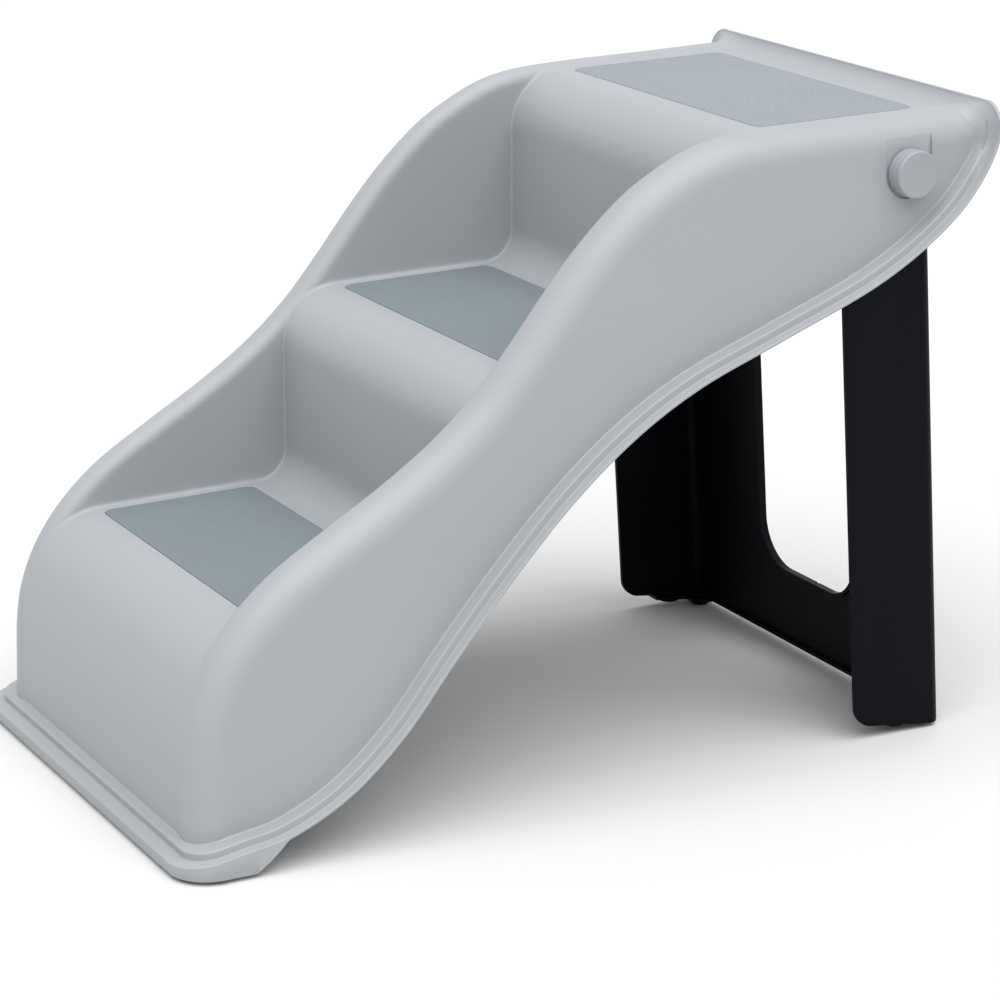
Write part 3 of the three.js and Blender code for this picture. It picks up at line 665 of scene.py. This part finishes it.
def onRim(along, height):
    k = limited(bisect_right(rimLength, along), 1, len(rimLine) - 1)
    share = (along - rimLength[k - 1]) / (rimLength[k] - rimLength[k - 1])
    a, b = Vector(rimLine[k - 1]), Vector(rimLine[k])
    before, after = Vector(rimLine[max(k - 2, 0)]), Vector(rimLine[min(k + 1, len(rimLine) - 1)])
    direction = (b - before).normalized().lerp((after - a).normalized(), limited(share)).normalized()
    return a.lerp(b, share) + Vector((-direction.y, direction.x)) * height


def rimLoop(guide, inset):
    half = stairs["width"] / 2 - guide["side"] - inset
    front = guide["front"] + inset
    rear = rimLength[-1] - guide["rear"] - inset
    r1, r2 = [max(guide[corner] - inset, rim["leastCorner"]) for corner in ("planCorner", "rearCorner")]
    turns = [i / rim["cornerSteps"] * math.pi / 2 for i in range(rim["cornerSteps"] + 1)]
    points = [(front, (half - r1) * i / rim["frontSteps"]) for i in range(rim["frontSteps"])]
    points += [(front + r1 * (1 - math.cos(turn)), half - r1 * (1 - math.sin(turn))) for turn in turns]
    start, end = front + r1, rear - r2
    points += [(start + (end - start) * i / rim["sideSteps"], half) for i in range(1, rim["sideSteps"])]
    points += [(rear - r2 * (1 - math.sin(turn)), half - r2 * (1 - math.cos(turn))) for turn in turns]
    points += [(rear, (half - r2) * (1 - i / rim["rearSteps"])) for i in range(1, rim["rearSteps"] + 1)]
    return points + [(s, -x) for s, x in reversed(points[:-1])]


def bend(guide, centreInset, centreHeight, radius, fromDegrees, toDegrees, steps=4):
    turns = [math.radians(fromDegrees + (toDegrees - fromDegrees) * i / steps) for i in range(steps + 1)]
    return [(guide, centreInset + radius * math.cos(t), centreHeight + radius * math.sin(t)) for t in turns]


# A profile point is (guide, inset from it, height); the skirt's heights come from skirtBottom
outerGuide, ledgeGuide, wallGuide = rim["outer"], rim["ledge"], rim["wall"]
rimProfile = [(outerGuide, rim["skirtTop"], "skirt"), (outerGuide, 0, "skirtEdge")]
rimProfile += bend(outerGuide, rim["edgeRound"], rim["edge"] - rim["edgeRound"], rim["edgeRound"], 180, 90)
rampStart = len(rimProfile)
fillet = rim["footFillet"]
rimProfile += bend(ledgeGuide, -fillet, rim["edge"] + fillet, fillet, -90, 0)
rimProfile += bend(ledgeGuide, rim["stepInset"], rimStack - rim["stepRound"], rim["stepRound"], 180, 90)
rimProfile += [(wallGuide, -rim["wallRun"], rimStack)]
fillet = rim["wallFillet"]
rimProfile += bend(wallGuide, -fillet, rimStack + fillet, fillet, -90, 0)
rampEnd = len(rimProfile) - 1
rimProfile += [
    (wallGuide, rim["wallSink"], rimStack + rim["wallRise"]),
    (wallGuide, rim["wallInset"], rimStack - rim["sheet"]),
    (ledgeGuide, rim["sheet"], rimStack - rim["sheet"]), (ledgeGuide, rim["sheet"], 0),
    (outerGuide, rim["skirtWall"], 0), (outerGuide, rim["skirtWall"], "skirt"),
]
rimLoops = [rimLoop(guide, inset) for guide, inset, _ in rimProfile]
rampLoops = rimLoop(outerGuide, rim["rampEdge"]), rimLoop(wallGuide, rim["wallInset"])


def skirtBottom(y, z):
    share = limited((y - rim["skirtLength"]) / rim["skirtSlope"])
    return rim["skirtLift"] + (z - rim["skirtLift"]) * share


def easy(low, high, value):
    share = limited((value - low) / (high - low))
    return share * share * (3 - 2 * share)


# The two ledges run out into one hollow ramp at the rear lip
def onRamp(column, share):
    (a0, x0), (a1, x1) = [loop[column] for loop in rampLoops]
    turn = share * math.pi / 2
    half = stairs["width"] / 2
    rear = easy(half - rim["rampTurnFrom"], half - rim["rampTurnTo"], abs(x0))
    high = rim["rampSide"] + (rim["rampRear"] - rim["rampSide"]) * rear
    corner = easy(rimLength[-1] - rim["railFillFrom"], rimLength[-1] - rim["railFillTo"], a1)
    corner *= easy(*rim["railFillWidth"], abs(x1))    # the rail's end runs out into the lip
    a1 += (a0 - a1) * rim["railFillShare"] * corner
    high += rim["railFill"] * corner
    inward = share + (math.sin(turn) - share) * rim["rampHollow"]
    raised = share + (1 - math.cos(turn) - share) * rim["rampHollow"]
    spot = onRim(a0 + (a1 - a0) * inward, rim["edge"] + (high - rim["edge"]) * raised)
    return Vector((x0 + (x1 - x0) * inward, spot.x, spot.y))


def rimPoint(column, row):
    row = row % len(rimProfile)
    guide, inset, height = rimProfile[row]
    column = column % len(rimLoops[row])
    along, x = rimLoops[row][column]
    if isinstance(height, str):
        y, z = onRim(along, 0)
        low = skirtBottom(y, z)
        return place(x, y, min(low + rim["skirtEdge"] * (height == "skirtEdge"), stairs["height"]))
    y, z = onRim(along, height)
    spot = Vector((x, y, z))
    if rampStart <= row <= rampEnd:
        ramp = onRamp(column, (row - rampStart) / (rampEnd - rampStart))
        spot = spot.lerp(ramp, easy(rim["rampFrom"], rim["rampTo"], ramp.z))
    return place(spot.x, max(spot.y, 0), min(spot.z, stairs["height"]))


bm = sheetGrid(len(rimLoops[0]), len(rimProfile), rimPoint)
bmesh.ops.remove_doubles(bm, verts=bm.verts, dist=rim["weld"] * mm)
bmesh.ops.recalc_face_normals(bm, faces=bm.faces)
shellRim = newPiece("shellRim", bm, "stairs", materials["shellPlastic"])
shadeSmooth(shellRim, rim["sharpFrom"])
print("rim", len(shellRim.data.vertices))

# Rubber feet: a dished sole and a stem with a head that is pushed through a hole
stem = {"radius": 4, "hole": 4.3, "headRadius": 5.2, "shoulder": 5.1, "tip": 4.1, "headHeight": 1.2}
upward = Vector((0, 0, 1))


def soleProfile(pad, low):
    r, e = pad["radius"], pad["round"]
    turns = [i * math.pi / 8 for i in range(1, 5)]
    dishTop = low + pad["dish"]
    profile = [(0, dishTop), (r * pad["dishShare"], dishTop), (r * pad["soleShare"], low), (r - e, low)]
    return profile + [(r - e + e * math.sin(turn), low + e - e * math.cos(turn)) for turn in turns]


def stemProfile(low, head, shoulderHeight):
    tip = head + stem["headHeight"]
    return [(stem["radius"], low), (stem["radius"], head), (stem["headRadius"], head),
            (stem["shoulder"], head + shoulderHeight), (stem["tip"], tip), (0, tip)]


# Shelves inside the front corners and their rubber feet
front = {
    "x": 181, "y": 22, "shelfInner": 169, "shelfOuter": 201.5, "shelfFront": 1.5, "shelfRear": 38,
    "shelfLow": 3, "shelfThickness": 3, "outerRound": 28.5, "innerRound": 3, "edge": 0.4, "holeTop": 10,
}
frontPad = {
    "radius": 12, "round": 1, "dish": 0.5, "dishShare": 0.45, "soleShare": 0.5, "top": 2.7, "topEdge": 0.3,
    "head": 6.3, "shoulderHeight": 0.5,
}
for side, label in ((-1, "left"), (1, "right")):
    corners = [
        (side * front["shelfInner"], front["shelfFront"]),
        (side * front["shelfOuter"], front["shelfFront"], front["outerRound"]),
        (side * front["shelfOuter"], front["shelfRear"], front["innerRound"]),
        (side * front["shelfInner"], front["shelfRear"], front["innerRound"]),
    ]
    bm = prism(corners, lambda x, y: place(x, y, front["shelfLow"]), upward * front["shelfThickness"] * mm)
    shelf = newPiece("foot_shelf_" + label, bm, "stairs", materials["shellPlastic"])
    centre = place(side * front["x"], front["y"], 0)
    combine(shelf, rod(centre, upward, stem["hole"], 0, front["holeTop"]), "DIFFERENCE")
    soften(shelf, front["edge"])
    r, edge, top = frontPad["radius"], frontPad["topEdge"], frontPad["top"]
    profile = soleProfile(frontPad, 0) + [(r, top - edge), (r - edge, top)]
    profile += stemProfile(top, frontPad["head"], frontPad["shoulderHeight"])
    foot = newPiece("front_foot_pad_" + label, spun(profile, centre, upward), "stairs",
                    materials["padRubber"], ["front_foot_" + label])
    shadeSmooth(foot)
print("front feet")

# Hinge caps with their pins, washers and screws
cap = {
    "radius": 17.5, "face": 195.5, "round": 1.6, "edge": 0.5, "rim": 4, "dish": 0.25, "seat": 181.7,
    "pinRadius": 8, "pinEnd": 172.3, "bore": 2.2, "boreEnd": 183.6, "steps": 96,
}
washer = {"radius": 10, "bore": 2.2, "inner": 170, "outer": 172, "edge": 0.35, "steps": 64}
screw = {
    "radius": 1.9, "tip": 182.7, "point": 0.6, "steps": 40,
    "head": 4, "headTop": 169.7, "headEnd": 167.1, "headEdge": 0.8,
    "pitch": 1.4, "thread": 0.35, "threadFrom": 1, "threadEnd": 2, "threadShape": (0.4, 0.7, 0.9, 1.2),
    "slotWidth": 0.9, "slotLength": 4.6, "slotDepth": 1.5,
}


def capProfile():
    r, e, face = cap["radius"], cap["edge"], cap["face"]
    turns = [i * math.pi / 16 for i in range(9)]
    profile = [(0, cap["boreEnd"]), (cap["bore"], cap["boreEnd"]), (cap["bore"], cap["pinEnd"]),
               (cap["pinRadius"] - e, cap["pinEnd"]), (cap["pinRadius"], cap["pinEnd"] + e),
               (cap["pinRadius"], cap["seat"]), (r - e, cap["seat"]), (r, cap["seat"] + e)]
    profile += [(r - cap["round"] * (1 - math.cos(turn)), face - cap["round"] * (1 - math.sin(turn)))
                for turn in turns]
    return profile + [(r - cap["rim"], face - cap["dish"]), (0, face - cap["dish"])]


def washerProfile():
    r, e, inner, outer = washer["radius"], washer["edge"], washer["inner"], washer["outer"]
    return [(washer["bore"], inner), (r - e, inner), (r, inner + e), (r, outer - e), (r - e, outer),
            (washer["bore"], outer)]


def screwProfile():
    top, r, root = screw["headTop"], screw["radius"], screw["radius"] - screw["thread"]
    domeTop = top - screw["headEdge"]
    turns = [i * math.pi / 20 for i in range(11)]
    profile = [(screw["head"] * math.sin(turn), domeTop - (domeTop - screw["headEnd"]) * math.cos(turn))
               for turn in turns]
    profile += [(screw["head"], top), (r, top)]
    for i in range(int((screw["tip"] - top - screw["threadEnd"]) / screw["pitch"])):
        start = top + screw["threadFrom"] + i * screw["pitch"]
        profile += [(radius, start + run) for radius, run in zip((root, r, r, root), screw["threadShape"])]
    return profile + [(r - screw["point"], screw["tip"]), (0, screw["tip"])]


for side, label in ((-1, "left"), (1, "right")):
    axis = Vector((side, 0, 0))
    piece = newPiece("cap_" + label, spun(capProfile(), hinge, axis, cap["steps"]), "stairs",
                     materials["capPlastic"], ["hinge_cap_" + label])
    shadeSmooth(piece)
    piece = newPiece("washer_" + label, spun(washerProfile(), hinge, axis, washer["steps"], True), "stairs",
                     materials["steel"], ["hinge_washer_" + label])
    shadeSmooth(piece)
    piece = newPiece("screw_" + label, spun(screwProfile(), hinge, axis, screw["steps"]), "stairs",
                     materials["steel"], ["hinge_screw_" + label])
    slotCentre = Matrix.Translation(hinge + axis * screw["headEnd"] * mm)
    width, length = screw["slotWidth"], screw["slotLength"]
    for y, z in ((width, length), (length, width)):
        size = Matrix.Diagonal((screw["slotDepth"] * 2 * mm, y * mm, z * mm, 1))
        bm = bmesh.new()
        bmesh.ops.create_cube(bm, size=1, matrix=slotCentre @ size)
        combine(piece, bm, "DIFFERENCE")
    shadeSmooth(piece)
print("caps, washers and screws")

# Leg frame: two sides and a back panel with a window
leg = {
    "halfWidth": 177.6, "wall": 3, "frontReach": 56, "rearReach": 23, "topReach": 18, "panelDrop": 22,
    "shoulderDrop": 45, "shoulderRound": 22, "frontCorner": 14, "rearCorner": 8, "planCorner": 10,
    "rearGap": 2, "frontGap": 12, "lip": 6, "edge": 1.1, "roundSteps": 12, "windowSteps": 16,
    "boss": 15, "bossThickness": 2, "bossOverlap": 1.5, "hole": 8.3,
    "windowHalf": 68.02, "windowLow": 66, "windowHigh": 345, "lowRound": 37, "highRound": 24,
    "webs": ((17, 150), (-2, 160), (-32, 174.6)),    # cuts between webs: (behind the hinge, half width)
    "cutTop": 33, "cutMargin": 6,
    "notchX": 8, "notch": 1.6, "notchRise": 0.6, "notchFrom": 20, "notchTo": 26,
}
margin = leg["cutMargin"]
ahead, roof = -leg["frontReach"] - margin, stairs["height"]
legSlope = (leg["frontGap"] - leg["rearGap"]) / (leg["frontReach"] + leg["rearReach"])
innerX = leg["halfWidth"] - leg["wall"]


def legPoint(height, behind, *corner):
    return (pivotY + behind + (pivotZ - height) * lean, height, *corner)


def legPrism(corners, halfWidth):
    return prismX([legPoint(*corner) for corner in corners], -halfWidth, halfWidth, leg["roundSteps"])


def legColumn(x, rear, corner):
    drop = roof + margin
    corners = [(-x, ahead), (x, ahead), (x, rear, corner), (-x, rear, corner)]
    return prism(corners, lambda a, b: place(a, pivotY + b + (pivotZ + margin) * lean, -margin),
                 Vector((0, -lean * drop, drop)) * mm, leg["roundSteps"])


def legWindow(grow, start, end):
    x, low, high = leg["windowHalf"] + grow, leg["windowLow"] - grow, leg["windowHigh"] + grow
    corners = [(-x, low, leg["lowRound"] + grow), (x, low, leg["lowRound"] + grow),
               (x, high, leg["highRound"] + grow), (-x, high, leg["highRound"] + grow)]
    return prism(corners, lambda a, b: place(a, pivotY + start + (pivotZ - b) * lean, b),
                 Vector((0, (end - start) * mm, 0)), leg["windowSteps"])


sideView = [
    (leg["rearGap"], leg["rearReach"], leg["rearCorner"]),
    (pivotZ + leg["topReach"], leg["rearReach"], leg["topReach"]),
    (pivotZ + leg["topReach"], -leg["topReach"], leg["topReach"]),
    (pivotZ - leg["shoulderDrop"], -leg["frontReach"], leg["shoulderRound"]),
    (leg["frontGap"], -leg["frontReach"], leg["frontCorner"]),
]
bm = rebuilt(legPrism(sideView, leg["halfWidth"]),
             legColumn(leg["halfWidth"], leg["rearReach"], leg["planCorner"]), "INTERSECT")
legFrame = newPiece("leg", bm, "leg", materials["legPlastic"], ["leg_frame"])


def webTop(behind):
    return leg["rearGap"] + (leg["rearReach"] - behind) * legSlope + leg["wall"]


rear = leg["rearReach"]
inside = rebuilt(
    legPrism([(webTop(ahead), ahead), (webTop(rear), rear), (roof, rear), (roof, ahead)], leg["halfWidth"]),
    legColumn(innerX, rear - leg["wall"], leg["planCorner"] - leg["wall"]), "INTERSECT")
combine(legFrame, inside, "DIFFERENCE")
panelTop, pastPanel = pivotZ - leg["panelDrop"], rear + leg["wall"]
overPanel = [(panelTop, ahead), (panelTop, pastPanel), (roof, pastPanel), (roof, ahead)]
combine(legFrame, legPrism(overPanel, innerX - leg["planCorner"]), "DIFFERENCE")
for behind, x in leg["webs"]:
    cut = [(-margin, ahead), (-margin, behind), (leg["cutTop"], behind), (leg["cutTop"], ahead)]
    combine(legFrame, legPrism(cut, x), "DIFFERENCE")
combine(legFrame, legWindow(leg["wall"], rear - leg["lip"], rear - leg["wall"] / 2), "UNION")
for side in (-1, 1):
    boss = rod(hinge, Vector((side, 0, 0)), leg["boss"], innerX - leg["bossThickness"],
               innerX + leg["bossOverlap"])
    combine(legFrame, boss, "UNION")
combine(legFrame, legWindow(0, -leg["frontReach"], pastPanel), "DIFFERENCE")
bore = rod(hinge, Vector((1, 0, 0)), leg["hole"], -pocket["outside"], pocket["outside"])
combine(legFrame, bore, "DIFFERENCE")
notchY, notchZ = legPoint(leg["windowLow"], 0)
notch = rod(place(leg["notchX"], notchY, notchZ + leg["notchRise"]), Vector((0, 1, 0)), leg["notch"],
            leg["notchFrom"], leg["notchTo"])
combine(legFrame, notch, "DIFFERENCE")

# Leg feet: two pairs, of which only the inner one stands on the floor
legFeet = {
    "outer": {"inset": 9.5, "behind": -16, "radius": 9, "low": 5, "round": 1.5},
    "inner": {"inset": 17.6, "behind": 10, "radius": 7, "low": 0, "round": 1.2},
}
footForm = {
    "dish": 0.4, "dishShare": 0.35, "soleShare": 0.42, "gap": 0.3, "stemLow": 0.7, "shoulderHeight": 0.4,
}
for kind, foot in legFeet.items():
    footY = legPoint(0, foot["behind"])[0]
    plateLow = leg["rearGap"] + (legPoint(leg["rearGap"], rear)[0] - footY) * legSlope
    headLow = plateLow + leg["wall"] + footForm["gap"] + stem["headRadius"] * legSlope
    for side, label in ((-1, "left"), (1, "right")):
        centre = place(side * (leg["halfWidth"] - foot["inset"]), footY, 0)
        combine(legFrame, rod(centre, upward, stem["hole"], -margin, leg["cutTop"]), "DIFFERENCE")
        top = plateLow * 2
        sole = soleProfile({**foot, **footForm}, foot["low"])
        bm = spun(sole + [(foot["radius"], top), (0, top)], centre, upward)
        cut = bmesh.ops.bisect_plane(
            bm, geom=bm.verts[:] + bm.edges[:] + bm.faces[:], dist=1e-7, plane_no=(0, legSlope, 1),
            plane_co=centre + upward * (plateLow - footForm["gap"]) * mm, clear_outer=True)
        bmesh.ops.holes_fill(bm, edges=[e for e in cut["geom_cut"] if isinstance(e, bmesh.types.BMEdge)])
        bmesh.ops.recalc_face_normals(bm, faces=bm.faces)
        stemLow = foot["low"] + footForm["stemLow"]
        pinProfile = [(0, stemLow)] + stemProfile(stemLow, headLow, footForm["shoulderHeight"])
        pin = spun(pinProfile, centre, upward)
        piece = newPiece("foot_%s_%s" % (kind, label), rebuilt(bm, pin, "UNION"), "leg",
                         materials["footRubber"], ["leg_foot_%s_%s" % (kind, label)])
        shadeSmooth(piece)
soften(legFrame, leg["edge"])
print("leg frame", len(legFrame.data.vertices))

# Floor, light and camera
studio = {
    "floorSize": 40, "floorColour": (0.67, 0.67, 0.67, 1), "floorRoughness": 0.9,
    "skyLight": 0.64, "sunPower": 3.2, "sunTilt": 22, "sunTurn": 70, "sunSpread": 75,
}
bm = bmesh.new()
bmesh.ops.create_grid(bm, x_segments=1, y_segments=1, size=studio["floorSize"] / 2)
floor = meshObject("floor", bm)
floorMaterial = bpy.data.materials.new("floorPaper")
floorMaterial.use_nodes = True
floorShader = floorMaterial.node_tree.nodes["Principled BSDF"]
floorShader.inputs["Base Color"].default_value = studio["floorColour"]
floorShader.inputs["Roughness"].default_value = studio["floorRoughness"]
floor.data.materials.append(floorMaterial)

world = bpy.data.worlds.new("studio")
bpy.context.scene.world = world
world.use_nodes = True
tree = world.node_tree
sky = tree.nodes["Background"]
sky.inputs["Color"].default_value = (1, 1, 1, 1)
ray = plain(tree, "ShaderNodeLightPath")
seen = ray.outputs["Is Camera Ray"]
for kind in ("Is Glossy Ray", "Is Transmission Ray"):
    either = plain(tree, "ShaderNodeMath", operation="MAXIMUM")
    tree.links.new(seen, either.inputs[0])
    tree.links.new(ray.outputs[kind], either.inputs[1])
    seen = either.outputs[0]
tree.links.new(ranged(tree, seen, studio["skyLight"], 1.0), sky.inputs["Strength"])

sunData = bpy.data.lights.new("sun", "SUN")
sunData.energy = studio["sunPower"]
sunData.angle = math.radians(studio["sunSpread"])
sun = inScene("sun", sunData)
sun.rotation_euler = (math.radians(studio["sunTilt"]), 0, math.radians(studio["sunTurn"]))

# Camera fitted to the photo: place in millimetres, angles in degrees, focal length in pixels
view = {
    "place": (2208.6, -1148.1, 936.7), "azimuth": 62.096, "elevation": 16.966, "roll": 0.074,
    "focal": 3439.5, "photoWidth": 1000, "sensor": 36,
}
azimuth, elevation, roll = [math.radians(view[angle]) for angle in ("azimuth", "elevation", "roll")]
level = math.cos(elevation)
back = Vector((math.sin(azimuth) * level, -math.cos(azimuth) * level, math.sin(elevation)))
right = Vector((math.cos(azimuth), math.sin(azimuth), 0))
down = (-back).cross(right)
cosRoll, sinRoll = math.cos(roll), math.sin(roll)
right, down = right * cosRoll + down * sinRoll, down * cosRoll - right * sinRoll
cameraData = bpy.data.cameras.new("camera")
cameraData.sensor_width = view["sensor"]
cameraData.lens = view["focal"] * view["sensor"] / view["photoWidth"]
cameraData.dof.use_dof = False
camera = inScene("camera", cameraData)
turn = Matrix((right, -down, back)).transposed().to_4x4()
camera.matrix_world = Matrix.Translation(Vector(view["place"]) * mm) @ turn
bpy.context.scene.camera = camera
bpy.context.scene.view_settings.view_transform = "Standard"
print("studio")
